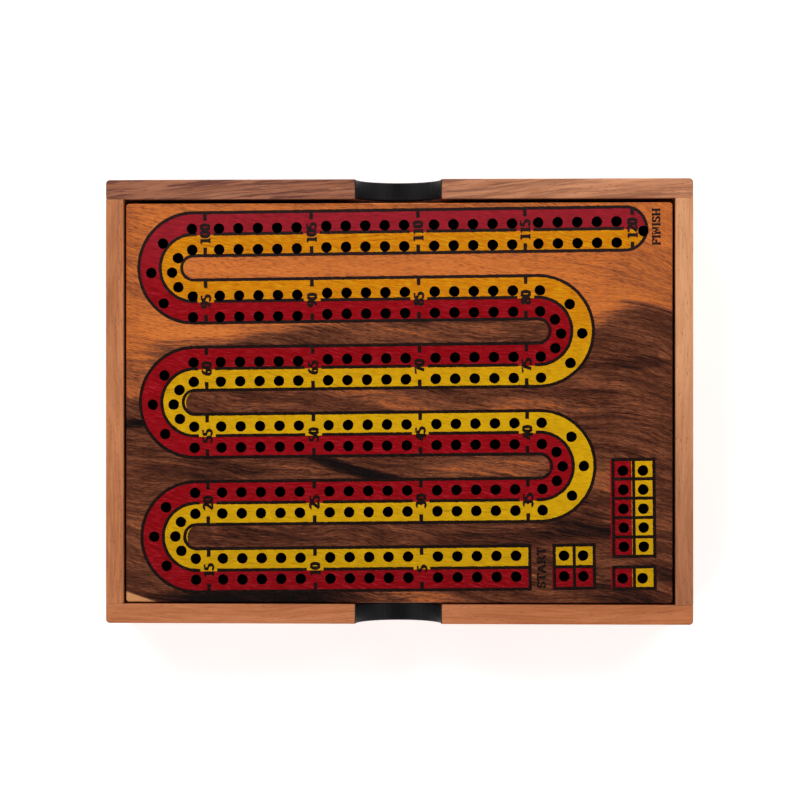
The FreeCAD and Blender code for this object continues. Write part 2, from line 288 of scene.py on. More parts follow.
class Material:
    """A material's nodes. Most methods add a node and return the number or the socket it puts out."""

    def __init__(self, name):
        self.material = bpy.data.materials.new(name)
        self.material.use_nodes = True
        self.tree = self.material.node_tree
        self.surface = self.tree.nodes["Principled BSDF"]
        place = self.node("TexCoord", {}).outputs["Object"]
        self.place = self.vector("MULTIPLY", place, (1 / MM, 1 / MM, 1 / MM))
        self.x, self.y, self.z = self.axes(self.place)

    def put(self, socket, value):
        """Puts a number, vector, colour or another node's output into a socket."""
        if isinstance(value, Number):
            value = value.socket
        elif socket.type == "RGBA":
            value = shade_of(value)
        if isinstance(value, bpy.types.NodeSocket):
            self.tree.links.new(value, socket)
        else:
            socket.default_value = value

    def node(self, kind, inputs, **settings):
        """A new node with these settings and inputs."""
        node = self.tree.nodes.new("ShaderNode" + kind)
        for name, value in settings.items():
            setattr(node, name, value)
        for socket, value in inputs.items():
            self.put(node.inputs[socket], value)
        return node

    def vector(self, operation, a, b):
        return self.node("VectorMath", {0: a, 1: b}, operation=operation).outputs[0]

    def maths(self, operation, *values):
        return Number(self, self.node("Math", dict(enumerate(values)), operation=operation).outputs[0])

    def mapped(self, vector, turn, move):
        """Turned by degrees about Z, after moving."""
        inputs = {"Vector": self.vector("ADD", vector, move), "Rotation": (0, 0, radians(turn))}
        return self.node("Mapping", inputs).outputs[0]

    def axes(self, vector):
        return [Number(self, socket) for socket in self.node("SeparateXYZ", {0: vector}).outputs]

    def joined(self, *axes):
        return self.node("CombineXYZ", dict(enumerate(axes))).outputs[0]

    def noise(self, vector, scale, detail=2.0, roughness=0.5, distortion=0.0):
        """Noise of about 0.5. The scale is one number, or one for each axis."""
        if isinstance(scale, tuple):
            vector, scale = self.vector("MULTIPLY", vector, scale), 1.0
        inputs = {"Vector": vector, "Scale": scale, "Detail": detail,
                  "Roughness": roughness, "Distortion": distortion}
        return Number(self, self.node("TexNoise", inputs).outputs["Fac"])

    def cells(self, vector, scale):
        """How far the nearest of many scattered points is."""
        inputs = {"Vector": self.vector("MULTIPLY", vector, scale), "Scale": 1.0}
        return Number(self, self.node("TexVoronoi", inputs).outputs["Distance"])

    def remap(self, value, low, high, to_low=0.0, to_high=1.0):
        """A soft step from one range to another."""
        inputs = {"Value": value, "From Min": low, "From Max": high, "To Min": to_low, "To Max": to_high}
        return Number(self, self.node("MapRange", inputs, interpolation_type="SMOOTHSTEP").outputs[0])

    def ramp(self, value, stops):
        """Colours at places from 0 to 1."""
        node = self.node("ValToRGB", {0: value})
        elements, stops = node.color_ramp.elements, list(stops)
        while len(elements) < len(stops):
            elements.new(0.5)
        for element, (place, shade) in zip(elements, stops):
            element.position = place
            element.color = shade_of(shade)
        return node.outputs[0]

    def mix(self, amount, a, b, blend="MIX"):
        return self.node("Mix", {0: amount, 6: a, 7: b}, data_type="RGBA", blend_type=blend).outputs[2]

    def bump(self, height, depth, strength=1.0):
        """A normal from a height of 0 to 1 that is depth millimetres tall."""
        inputs = {"Height": height, "Strength": strength, "Distance": depth * MM}
        return self.node("Bump", inputs).outputs[0]

    def finish(self, base, roughness, normal=None, **constants):
        self.put(self.surface.inputs["Base Color"], base)
        self.put(self.surface.inputs["Roughness"], roughness)
        if normal is not None:
            self.put(self.surface.inputs["Normal"], normal)
        for name, value in constants.items():
            name = name.replace("_", " ").title().replace("Ior", "IOR")
            self.surface.inputs[name].default_value = value
        return self.material


def grain_space(mat, along, slope, seed):
    """Places turned so that x runs along the grain, with a slow wander across it."""
    turn = {"X": 0, "Y": 90}[along] - slope
    place = mat.mapped(mat.place, turn, (seed * 37.0, seed * 11.0, seed * 5.0))
    x, y, z = mat.axes(place)
    return mat.joined(x, mat.noise(place, (0.012, 0.03, 0.03), 1.0) * 9.0 + y, z)


def rail_wood(name, along, seed, shades, slope=0.0, streaks=0.15, patches=(0.4, 0.54), fade=None, paint=None):
    """Open-pored tropical hardwood, oiled: soft bands, fine fibres and short dark pores along the grain.

    The fade is a tint and the two places along the rail between which it comes in, with stronger streaks."""
    mat = Material(name)
    place = grain_space(mat, along, slope, seed)
    broad = mat.noise(place, (0.02, 0.22, 0.22), 3.0, 0.55)
    hair = mat.noise(place, (0.07, 1.2, 1.2), 4.0, 0.75)
    fibre = mat.noise(place, (0.14, 2.6, 2.6), 3.0, 0.65)
    tone = broad * 0.6 + fibre * 0.25 + (hair - 0.5) * 0.75
    base = mat.ramp(tone, zip((0.26, 0.44, 0.62), shades))
    if fade is not None:
        tint, near, far = fade
        amount = mat.remap(mat.x if along == "X" else mat.y, near, far)
        base = mat.mix(amount, base, (*tint, 1.0), "MULTIPLY")
        streaks = amount * (0.55 * streaks) + 0.45 * streaks
    bands = mat.remap(mat.noise(place, (0.035, 0.8, 0.8), 4.0, 0.75), 0.48, 0.57)
    bands *= mat.remap(mat.noise(place, (0.02, 0.1, 0.1), 1.0), *patches)
    base = mat.mix(bands * streaks, base, (92, 52, 44))
    pores = mat.remap(mat.cells(place, (0.3, 1.7, 1.7)), 0.26, 0.1)
    pores *= mat.remap(mat.noise(place, (0.05, 0.5, 0.5), 1.0), 0.4, 0.56)
    base = mat.mix(pores * 0.6, base, (92, 46, 30))
    rough = mat.remap(fibre, 0.3, 0.7, 0.44, 0.58)
    if paint is not None:
        base, rough = paint(mat, base, rough)
    return mat.finish(base, rough, mat.bump(fibre * 0.5 - pores, 0.05, 0.6), specular_ior_level=0.22)


def notch_paint(mat, base, rough):
    """Satin black paint inside the half-round finger notches, with lighter grey streaks along its brush
    marks: thinner paint, and partly a painted sheen.
    """
    drop = RIM - mat.z
    reach = mat.maths("SQRT", mat.x * mat.x + drop * drop)
    mask = mat.remap(reach, NOTCH_R + 0.55, NOTCH_R + 0.25)
    mask *= mat.remap(mat.noise(mat.place, 0.9), 0.1, 0.2)
    # Lighter grey streaks: brush marks, and partly a painted sheen on the satin black
    brush_and_sheen = mat.noise(mat.place, (3.0, 0.12, 3.0), 3.0, 0.65)
    black = mat.ramp(brush_and_sheen, [(0.35, (9, 8, 10)), (0.6, (20, 19, 22)), (0.8, (44, 42, 46))])
    return mat.mix(mask, base, black), mask * -0.08 + rough


def spot(mat, place, x, y, half_length, half_width, slope):
    """1 at the middle of a soft oval, 0 at its edge."""
    moved = mat.mapped(place, -slope, (-x, -y, 0))
    flat = mat.vector("MULTIPLY", moved, (1 / half_length, 1 / half_width, 0))
    return Number(mat, mat.node("TexGradient", {0: flat}, gradient_type="SPHERICAL").outputs["Fac"])


# Figure of the board's wood: X, Y, half length, half width, slope in degrees, and how much lighter or darker
FIGURE = [
    (-12, -25.5, 30, 3.0, -16, -0.36),  # a black streak that falls to the right
    (-50, -70, 46, 6.0, 0, -0.4),       # black heartwood along the front edge
    (66, -45, 20, 5.0, -8, -0.24),
    (38, -49, 34, 4.0, 2, -0.16),
    (-70, -24, 34, 6.0, 0, -0.14),
    (-60, -48, 44, 6.0, -3, -0.1),
    (-97, -8, 14, 2.0, 2, -0.3),
    (86, 14, 20, 3.0, 3, -0.14),
    (3, -68, 30, 3.0, -9, 0.25),        # a tan streak in front
    (74, -27, 12, 8, -8, 0.14),
    (38, -23, 36, 4.0, 3, 0.2),
    (-4, 1, 40, 4, -18, 0.12),
    (-74, 22, 24, 6, 3, 0.08),
    (12, 24, 52, 4, 2, 0.09),
    (-20, 48, 80, 4, 0, 0.05),
    (-94, 8, 12, 12, -12, 0.26),
    (-90, -46, 14, 12, -20, 0.06),
    (78, -69, 26, 6, -6, -0.14),
    (93, -61, 14, 4, -14, -0.2),
    (50, -2, 26, 5, -4, 0.12),
    (20, -2, 60, 5, 0, 0.05),
    (0, 71, 110, 3, 0, -0.07),
    (8, 26, 34, 6, 0, -0.05),
    (-97, 48, 11, 34, 0, -0.07),
    (88, 46, 20, 16, 0, -0.06),
]
SAPWOOD = (-97.5, -68.2, -19.0)     # a point on the sapwood's edge in the front left corner, and its slope


def board_place(mat):
    """Places on the board, bent by the sweep of its grain."""
    y = mat.noise(mat.place, (0.016, 0.03, 0.03), 1.5) * 16.0 + mat.y
    y += mat.noise(mat.place, (0.07, 0.12, 0.12)) * 2.5
    y += mat.x * 0.12
    right = mat.remap(mat.y, 24.0, 48.0, 0.0007, 0.0038)
    for start, way, sweep in ((40.0, 1.0, right), (74.0, -1.0, -0.0035)):
        past = mat.maths("MAXIMUM", mat.x * way - start, 0.0)
        y += past * past * sweep
    return mat.joined(mat.x, y, mat.z)


def board_tone(mat, grain):
    """Lightness of the bare wood, 0 for black heartwood to 1 for orange: (tone, fibre)."""
    broad = mat.noise(grain, (0.018, 0.14, 0.14), 3.0, 0.6)
    streak = mat.noise(grain, (0.04, 0.42, 0.42), 3.0, 0.6)
    hair = mat.noise(grain, (0.07, 1.1, 1.1), 5.0, 0.8)
    fibre = mat.noise(grain, (0.22, 2.6, 2.6), 3.0, 0.75)
    edge = mat.maths("MINIMUM", mat.x, -25.0) * -0.16 + (mat.y - 33.8)
    edge += mat.remap(mat.x, 68.0, 86.0) * -5.0
    edge += (broad - 0.5) * 8.0
    edge += (streak - 0.5) * 7.0
    edge += (hair - 0.5) * 5.0
    zone = mat.remap(edge, -5.0, 3.5)
    swing = zone * -0.1 + 0.34
    tone = zone * 0.4 + 0.36
    tone += (broad - 0.5) * swing
    tone += (streak - 0.5) * swing
    tone += (hair - 0.5) * (zone * -0.4 + 1.0)
    stray = hair * 3.0 + streak * 5.0
    ragged = mat.joined(mat.x, mat.y + (stray - 4.0), mat.z)
    for *oval, amount in FIGURE:
        tone += mat.remap(spot(mat, ragged, *oval), 0.0, 0.6) * amount
    return tone, fibre


def board_wood(name):
    """Monkeypod with an orange upper part over dark, streaked heartwood."""
    mat = Material(name)
    grain = board_place(mat)
    tone, fibre = board_tone(mat, grain)
    tone += (fibre - 0.5) * 0.5
    base = mat.ramp(tone, [
        (0.0, (11, 3, 3)), (0.14, (34, 13, 8)), (0.32, (78, 38, 22)),
        (0.48, (113, 64, 41)), (0.62, (152, 82, 44)), (0.8, (197, 108, 47)),
        (1.0, (208, 121, 60)),
    ])
    pores = mat.remap(mat.noise(grain, (0.42, 3.6, 3.6), 1.0), 0.52, 0.62)
    dark_pore = mat.mix(1.0, base, (0.4, 0.32, 0.28, 1.0), "MULTIPLY")
    base = mat.mix(pores * mat.remap(tone, 0.6, 0.8, 0.8, 0.5), base, dark_pore)
    # Painted highlight: the eased top edge is made lighter, where it would catch the light
    eased_edge_highlight = mat.remap(mat.z, BOARD_TOP - 0.03, BOARD_TOP - 0.3)
    eased_edge_highlight *= mat.remap(mat.z, BOARD_TOP - 1.4, BOARD_TOP - 0.6)
    base = mat.mix(eased_edge_highlight, base, (1.7, 1.75, 1.8, 1.0), "MULTIPLY")
    edge_x, edge_y, slope = SAPWOOD
    past = mat.axes(mat.mapped(mat.place, -slope, (-edge_x, -edge_y, 0)))[1]
    sap = mat.ramp(fibre, [(0.35, (178, 120, 76)), (0.65, (206, 148, 98))])
    base = mat.mix(mat.remap(fibre * 1.2 + past, 0.9, 0.1), base, sap)
    rough = mat.remap(fibre, 0.3, 0.7, 0.42, 0.56)
    return mat.finish(base, rough, mat.bump(fibre * 0.6 - pores, 0.05, 0.6), specular_ior_level=0.08)


def ink(name, front, rear, span, worn, cover):
    """Paint printed thinly on the board, so that the grain and its pores show.

    It goes from the front's shade to the rear's over a span of Y."""
    mat = Material(name)
    grain = board_place(mat)
    tone, fibre = board_tone(mat, grain)
    base = mat.mix(mat.remap(mat.y, *span), front, rear)
    base = mat.mix(mat.remap(mat.y, -20.0, -66.0, 0.0, 0.15), base, BLACK)
    streak = mat.noise(grain, (0.2, 2.6, 2.6), 4.0, 0.75)
    base = mat.mix(mat.remap(streak, 0.5, 0.64, 0.0, cover), base, worn)
    base = mat.mix(mat.remap(streak, 0.46, 0.32, 0.0, 0.45), base, BLACK)
    blotch = mat.noise(mat.place, 0.35, 3.0, 0.6)
    base = mat.mix(0.55, base, mat.ramp(blotch, [(0.35, (0.8, 0.76, 0.74, 1)), (0.6, WHITE)]), "MULTIPLY")
    base = mat.mix(0.3, base, mat.ramp(tone, [(0.1, (0.72, 0.68, 0.66, 1)), (0.8, WHITE)]), "MULTIPLY")
    specks = mat.cells(grain, (0.35, 0.9, 0.9))
    base = mat.mix(mat.remap(specks, 0.1, 0.04, 0.0, 0.7), base, (70, 34, 14))
    rough = mat.remap(fibre, 0.3, 0.7, 0.42, 0.56)
    return mat.finish(base, rough, mat.bump(streak * 0.5 + fibre, 0.04, 0.5), specular_ior_level=0.07)


def black_ink(name):
    """Black outline ink, matt and a little open where the grain lifts it."""
    mat = Material(name)
    fibre = mat.noise(board_place(mat), (0.5, 4.6, 4.6), 3.0, 0.65)
    base = mat.ramp(fibre, [(0.4, (15, 8, 7)), (0.6, (31, 19, 16)), (0.74, (64, 40, 32))])
    base = mat.mix(mat.remap(mat.y, 0.0, 65.0, 0.0, 0.06), base, (104, 80, 84))
    return mat.finish(base, 0.6, mat.bump(fibre, 0.03, 0.4), specular_ior_level=0.03)


def charred(name):
    """The wall of a peg hole, painted near-black as painted shade deep in the narrow hole."""
    mat = Material(name)
    hole_speckle = mat.noise(mat.place, 1.6, 3.0)
    base = mat.ramp(hole_speckle, [(0.3, (4, 3, 3)), (0.8, (16, 10, 8))])
    return mat.finish(base, 0.9, mat.bump(hole_speckle, 0.05), specular_ior_level=0.05)


def plywood(name):
    """Rotary-cut birch plywood, sanded and unfinished."""
    mat = Material(name)
    place = grain_space(mat, "X", 3.0, 5)
    figure = mat.noise(place, (0.018, 0.12, 0.5), 3.0, distortion=0.6)
    fibre = mat.noise(place, (0.2, 4.0, 4.0), 3.0, 0.65)
    base = mat.ramp(fibre * 0.4 + figure * 0.7, [
        (0.38, (168, 122, 82)), (0.55, (196, 152, 106)), (0.72, (214, 176, 130)),
    ])
    flecks = mat.cells(place, (0.5, 3.2, 3.2))
    base = mat.mix(mat.remap(flecks, 0.18, 0.08, 0.0, 0.45), base, (128, 84, 54))
    rough = mat.remap(fibre, 0.3, 0.7, 0.58, 0.72)
    return mat.finish(base, rough, mat.bump(fibre, 0.05, 0.6), specular_ior_level=0.3)


def brad_steel(name):
    """Bright drawn steel with a little rust in its scratches."""
    mat = Material(name)
    worn = mat.noise(mat.place, 2.2, 4.0, 0.7)
    scratch = mat.noise(mat.place, (6.0, 0.6, 6.0))
    base = mat.ramp(worn, [
        (0.4, (150, 148, 146)), (0.62, (118, 112, 106)), (0.75, (112, 76, 54)),
    ])
    rough = mat.remap(scratch, 0.3, 0.7, 0.28, 0.5)
    return mat.finish(base, rough, mat.bump(scratch, 0.01, 0.5), metallic=1.0)


def card_stock(name):
    """Cut edges and faces of coated card, each card a hair's breadth darker or lighter."""
    mat = Material(name)
    layer = mat.noise(mat.joined(0.0, 0.0, mat.z * 3.4), 1.0, 0.0)
    paper = mat.noise(mat.place, 3.0, 4.0, 0.7)
    tone = paper * 0.35 + layer * 0.65
    base = mat.ramp(tone, [(0.35, (204, 196, 180)), (0.6, (236, 231, 220))])
    return mat.finish(base, 0.55, mat.bump(paper, 0.01, 0.4))


def card_back(name, node, shade):
    """A white border round a lattice of lozenges, on linen-finished card."""
    mat = Material(name)
    low, high = box_of(node)
    x, y, _ = mat.axes(mat.vector("SUBTRACT", mat.place, tuple((low + high) / 2)))
    edge_x = CARD_X / 2 - 5.0 - mat.maths("ABSOLUTE", x)
    edge_y = CARD_Y / 2 - 5.0 - mat.maths("ABSOLUTE", y)
    edge = mat.maths("MINIMUM", edge_x, edge_y)
    rising = mat.maths("SINE", (x + y * 1.6) * 1.3)
    falling = mat.maths("SINE", (x - y * 1.6) * 1.3)
    lattice = mat.maths("MAXIMUM", mat.remap(rising, 0.8, 0.86), mat.remap(falling, 0.8, 0.86))
    lattice = mat.maths("MAXIMUM", lattice, mat.remap(rising + falling, -1.72, -1.8))
    keyline = mat.remap(edge, 0.7, 0.8) * mat.remap(edge, 1.3, 1.2)
    light = mat.maths("MAXIMUM", lattice * mat.remap(edge, 1.3, 1.4), keyline)
    paper = mat.noise(mat.place, 2.0, 4.0, 0.7)
    white = mat.ramp(paper, [(0.3, (226, 220, 208)), (0.7, (240, 236, 228))])
    tint = mat.mix(mat.remap(paper, 0.35, 0.7, 0.0, 0.18), shade, (236, 230, 220))
    base = mat.mix(mat.remap(edge, -0.06, 0.06), white, tint)
    base = mat.mix(light * 0.92, base, white)
    linen = (mat.maths("SINE", x * 12.0) + mat.maths("SINE", y * 12.0)) * 0.25 + 0.5
    rough = mat.remap(paper, 0.3, 0.7, 0.3, 0.42)
    return mat.finish(base, rough, mat.bump(linen, 0.015, 0.5), coat_weight=0.2, coat_roughness=0.3)


def peg_paint(name, shade, worn):
    """Glossy stain on turned wood, rubbed thin in places."""
    mat = Material(name)
    grain = mat.noise(mat.place, (0.5, 4.0, 4.0), 3.0, 0.6)
    rub = mat.noise(mat.place, 0.5, 4.0, 0.7)
    dark = (*(0.7 * part for part in colour(*shade)[:3]), 1.0)
    base = mat.ramp(grain, [(0.35, dark), (0.65, shade)])
    base = mat.mix(mat.remap(rub, 0.6, 0.74, 0.0, 0.6), base, worn)
    rough = mat.remap(rub, 0.3, 0.7, 0.24, 0.4)
    return mat.finish(base, rough, mat.bump(grain, 0.02, 0.5), coat_weight=0.4, coat_roughness=0.18)


# ---- The print

def placed(points, centre, turn):
    """Points of a flat shape, turned by degrees and moved to its centre in the frame."""
    c, s = cos(radians(turn)), sin(radians(turn))
    return [(centre[0] + x * c - y * s, centre[1] + x * s + y * c) for x, y in points]


def print_point(u, v):
    """From the print's own frame to the frame."""
    return placed([(u, v)], (PRINT_X, PRINT_Y), PRINT_TURN)[0]


def wander(u, v, seed=0.0):
    """How far the ink's edge strays at a place."""
    coarse = noise.noise(Vector((u * 0.7, v * 0.7, 3.0 + seed)))
    fine = noise.noise(Vector((u * 2.4, v * 2.4, 9.0 + seed)))
    return RAGGED * (coarse + 0.9 * fine)


def spaced(low, high):
    """Evenly spaced numbers from low to high, about a step apart."""
    count = max(2, ceil(abs(high - low) / STEP) + 1)
    return [low + (high - low) * i / (count - 1) for i in range(count)]


def run_v(run):
    """Where a run's middle line is."""
    return (run - (RUNS - 1) / 2) * PAIR_PITCH


def side_of(index):
    """Runs and bends alternate between right and left."""
    return -1 if index % 2 == 0 else 1


def run_edge(run, offset, low, high):
    """Points along a run at an offset to the left of the track's direction."""
    side = side_of(run)
    points = []
    for u in spaced(low, high):
        v = run_v(run) + side * offset
        points.append(print_point(u, v + wander(u, v, offset)))
    return points


def round_edge(centre_u, centre_v, radius, start, end, seed=0.0, side=1, tuck=0.0):
    """Points round a centre between two angles in degrees, on its right or left side and tucked in there."""
    points = []
    for length in spaced(radians(start) * radius, radians(end) * radius):
        across, up = side * cos(length / radius), sin(length / radius)
        stray = radius + wander(centre_u + radius * across, centre_v + radius * up, seed)
        points.append(print_point(centre_u + (stray - tuck) * across, centre_v + stray * up))
    return points


def bend_edge(bend, offset, tuck=0.0):
    """Points round a bend at an offset to the left of the track's direction."""
    side = side_of(bend)
    centre_v = (run_v(bend) + run_v(bend + 1)) / 2
    return round_edge(side * BEND_U, centre_v, PAIR_PITCH / 2 - side * offset, -90, 90, offset, side, tuck)


def cap_arc(radius, start, end):
    """Points round the end of the last run."""
    return round_edge(CAP_U, run_v(RUNS - 1), radius, start, end)


def run_span(run):
    """Where a run's straight part begins and ends, left to right."""
    return -BEND_U, {0: START_U, RUNS - 1: CAP_U}.get(run, BEND_U)


def run_strip(run, inner, outer, low, high):
    """A closed strip of a run between two offsets."""
    return run_edge(run, inner, low, high) + run_edge(run, outer, low, high)[::-1]


def bend_strip(bend, inner, outer, spill=0.0):
    """A closed strip of a bend between two offsets, which may spill past the outline inside the bend."""
    tucks = [spill if side_of(bend) * offset > LANE - 1 else 0.0 for offset in (inner, outer)]
    return bend_edge(bend, inner, tucks[0]) + bend_edge(bend, outer, tucks[1])[::-1]


def bar(u, v, length, width):
    """A ragged bar across the runs, about its middle."""
    along, across = spaced(-length / 2, length / 2), width / 2
    edge = [(a, -across + wander(u + a, v)) for a in along]
    edge += [(a, across + wander(u + a, v, 5.0)) for a in reversed(along)]
    return [print_point(*point) for point in placed(edge, (u, v), 90.0)]


def strips(inner, outer, spill=0.0):
    """Strips of all the runs and bends."""
    shapes = [run_strip(run, inner, outer, *run_span(run)) for run in range(RUNS)]
    return shapes + [bend_strip(bend, inner, outer, spill) for bend in range(RUNS - 1)]


def lane(inner, outer):
    """The polygons of one painted lane, from the square start to the rounded end."""
    shapes = strips(inner, outer, SPILL)
    end = run_v(RUNS - 1)
    angles = [degrees(asin(offset / LANE)) for offset in (outer, inner)]
    return shapes + [cap_arc(LANE, *angles) + [print_point(CAP_U, end + offset) for offset in (inner, outer)]]


def run_ticks(run):
    """Where a run's ticks are, left to right."""
    return [(i - 1.5) * TICK_PITCH for i in range({0: 3, RUNS - 1: 5}.get(run, 4))]


def outline():
    """Black lines of the track: outlines, broken middle line, square and round ends, and ticks."""
    half = LINE / 2
    shapes = strips(-LANE - half, -LANE + half) + strips(LANE - half, LANE + half)
    shapes += [bend_strip(bend, -half, half) for bend in range(RUNS - 1)]
    shapes.append(cap_arc(LANE - half, -90, 90) + cap_arc(LANE + half, -90, 90)[::-1])
    shapes.append(bar(START_U, run_v(0), 2 * LANE + LINE, LINE))
    for run in range(RUNS):
        low, high = run_span(run)
        ends = [low]
        for u in run_ticks(run):
            ends += [u - NUMBER_GAP, u + NUMBER_GAP]
            for side in (-1, 1):
                shapes.append(bar(u, run_v(run) + side * (LANE - TICK_LENGTH / 2), TICK_LENGTH, TICK_WIDTH))
        ends.append(high)
        for start, stop in zip(ends[::2], ends[1::2]):
            if stop - start > 1.0:
                shapes.append(run_strip(run, -half, half, start, stop))
    return shapes


def ragged_line(a, b, seed):
    """A ragged line from one point to another."""
    length = dist(a, b)
    along = ((b[0] - a[0]) / length, (b[1] - a[1]) / length)
    near, far = [], []
    for t in spaced(0.0, length):
        x, y = a[0] + along[0] * t, a[1] + along[1] * t
        for edge, side in ((near, -1), (far, 1)):
            out = side * (LINE / 2 + wander(x, y, seed + side))
            edge.append((x - along[1] * out, y + along[0] * out))
    return near + far[::-1]


def cell_fill(box, column, row, grow=(0, 0, 0, 0)):
    """One painted cell of a printed box, grown outwards by left, low, right and high."""
    centre, (wide, tall), columns, rows, turn = box
    x0 = (column - columns / 2) * wide - grow[0]
    y0 = (row - rows / 2) * tall - grow[1]
    x1 = (column + 1 - columns / 2) * wide + grow[2]
    y1 = (row + 1 - rows / 2) * tall + grow[3]
    return placed([(x0, y0), (x1, y0), (x1, y1), (x0, y1)], centre, turn)


def cell_lines(box):
    """The black lines of a printed box."""
    centre, (wide, tall), columns, rows, turn = box
    x, y, over = columns * wide / 2, rows * tall / 2, LINE / 2
    lines = [((i * wide - x, -y - over), (i * wide - x, y + over), 1.0 + i) for i in range(columns + 1)]
    lines += [((-x - over, i * tall - y), (x + over, i * tall - y), 4.0 + i) for i in range(rows + 1)]
    return [placed(ragged_line(*line), centre, turn) for line in lines]


# ---- Lettering
# Each stroke is a path in hundredths of a letter's height, drawn with a nib wide across and thin along.

DIGIT_NIB = (13.4, 8.0)
WORD_NIB = (10.4, 6.0)
DIGIT_WIDE = 1.26       # the track's numbers are this much wider than their skeletons


def ring(cx, cy, rx, ry):
    """Two strokes that make an oval."""
    return [arc(cx, cy, rx, ry, 90, 270), arc(cx, cy, rx, ry, -90, 90)]


def serif(x, y, width=30):
    """A short stroke across the end of another."""
    return [(x - width / 2, y), (x + width / 2, y)]


STEM = [(18, 5), (18, 94)]
SIX = [arc(46, 34, 36, 60, 180, 100)] + ring(27, 30, 17, 25.5)
GLYPHS = {
    "0": (53, ring(26.5, 50, 17.5, 45)),
    "1": (53, [[(28, 4), (28, 95)], [(9, 80), (28, 93)], serif(28, 5, 36)]),
    "2": (53, [arc(25, 71, 17, 24, 165, -35) + [(8, 7)], serif(27, 7, 40), [(46, 7), (48, 24)]]),
    "3": (53, [arc(23, 73, 16, 22, 150, -90), arc(23, 28, 18, 23.5, 90, -155)]),
    "4": (53, [[(36, 95), (5, 30), (50, 30)], [(37, 95), (37, 4)], serif(37, 5, 26)]),
    "5": (53, [[(45, 91), (13, 91), (10, 55)], arc(23, 30, 19, 26.5, 130, -155)]),
    "6": (53, SIX),
    "7": (53, [[(5, 78), (7, 91), (46, 91), (22, 4)]]),
    "8": (53, ring(26.5, 74, 14.5, 20) + ring(26.5, 28, 17.5, 23.5)),
    "9": (53, [[(53 - x, 100 - y) for x, y in stroke] for stroke in SIX]),
    "A": (76, [[(37, 95), (12, 5)], [(37, 95), (63, 5)], [(20, 34), (55, 34)], serif(12, 5, 22),
              serif(63, 5, 26)]),
    "F": (64, [STEM, [(5, 94), (55, 94), (57, 74)], [(18, 52), (42, 52)], [(43, 64), (43, 40)],
              serif(18, 5)]),
    "H": (78, [STEM, [(60, 5), (60, 94)], [(18, 50), (60, 50)], serif(18, 5), serif(18, 94),
              serif(60, 5), serif(60, 94)]),
    "I": (37, [STEM, serif(18, 5), serif(18, 94)]),
    "N": (78, [[(16, 5), (16, 94), (60, 8), (60, 94)], serif(16, 5, 26), serif(10, 94, 20),
              serif(60, 94, 26)]),
    "R": (74, [STEM, [(5, 94), (34, 94)] + arc(34, 73, 19, 21, 90, -90) + [(18, 52)],
              [(36, 52), (60, 5)], serif(18, 5), serif(64, 5, 20)]),
    "S": (56, [arc(28, 73, 18, 22, 40, 270) + arc(28, 28, 19, 23.5, 90, -140), [(45, 93), (45, 72)],
              [(9, 28), (9, 7)]]),
    "T": (68, [[(34, 5), (34, 94)], [(6, 74), (8, 94), (60, 94), (62, 74)], serif(34, 5)]),
}


def nib_stroke(path, nib):
    """The outline of one stroke of a nib."""
    a, b = nib
    near, far = [], []
    for i, (x, y) in enumerate(path):
        before, after = path[max(i - 1, 0)], path[min(i + 1, len(path) - 1)]
        nx, ny = -(after[1] - before[1]), after[0] - before[0]
        size = hypot(a * nx, b * ny)
        if size < 1e-9:
            continue
        out = (a * a * nx / size, b * b * ny / size)
        near.append((x - out[0], y - out[1]))
        far.append((x + out[0], y + out[1]))
    return near + far[::-1]


def corners_cut(path, reach=2.0):
    """Each sharp corner becomes two points close together, so that the nib keeps its width round it."""
    found = [path[0]]
    for before, here, after in zip(path, path[1:], path[2:]):
        ways = [Vector(other) - Vector(here) for other in (before, after)]
        if min(way.length for way in ways) > 2 * reach and ways[0].angle(ways[1]) < radians(140):
            found += [tuple(Vector(here) + way.normalized() * reach) for way in ways]
        else:
            found.append(here)
    return found + [path[-1]]


def word_shapes(word, centre, height, wide, nib):
    """A word's strokes about its middle in the frame, its letters made wider by a share."""
    tall, broad = height / 100, height / 100 * wide
    widths = [GLYPHS[letter][0] * broad for letter in word]
    shapes, start = [], -sum(widths) / 2
    for letter, width in zip(word, widths):
        for stroke in GLYPHS[letter][1]:
            outline = nib_stroke(corners_cut(stroke), nib)
            points = []
            for x, y in outline:
                x, y = start + x * broad, (y - 50) * tall
                stray = [wander(x * 1.7, y * 1.7, seed + start) for seed in (20.0, 31.0)]
                points.append((x + stray[0], y + stray[1]))
            shapes.append(placed(points, centre, 90.0 + PRINT_TURN))
        start += width
    return shapes


def lettering():
    """The track's numbers, which rise by five from tick to tick along it, and the two words."""
    shapes, number = [], 5
    for run in range(RUNS):
        for u in run_ticks(run)[::side_of(run)]:
            middle = print_point(u, run_v(run))
            shapes += word_shapes(str(number), middle, DIGIT_HEIGHT, DIGIT_WIDE, DIGIT_NIB)
            number += 5
    for word, centre, height, length in (START_WORD, FINISH_WORD):
        wide = length / sum(GLYPHS[letter][0] * height / 100 for letter in word)
        shapes += word_shapes(word, centre, height, wide, WORD_NIB)
    return shapes


# ---- The playing board

def hole_centres():
    """Centres of the peg holes: the tips that the drill left in the CAD board."""
    tip = BOARD_TOP - HOLE_TIP
    points = [vertex.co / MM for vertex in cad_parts["playing_board"].data.vertices]
    return sorted({(round(x, 2), round(y, 2)) for x, y, z in points if abs(z - tip) < 0.02})


def rounded(low, high, radius, inset=0.0):
    """A rectangle with rounded corners, drawn in by an inset."""
    radius = max(radius - inset, 0.05)
    x0, y0, x1, y1 = low[0] + inset, low[1] + inset, high[0] - inset, high[1] - inset
    outline = []
    for cx, cy, start in ((x1 - radius, y1 - radius, 0), (x0 + radius, y1 - radius, 90),
                          (x0 + radius, y0 + radius, 180), (x1 - radius, y0 + radius, 270)):
        outline += arc(cx, cy, radius, radius, start, start + 90, 6)
    return outline


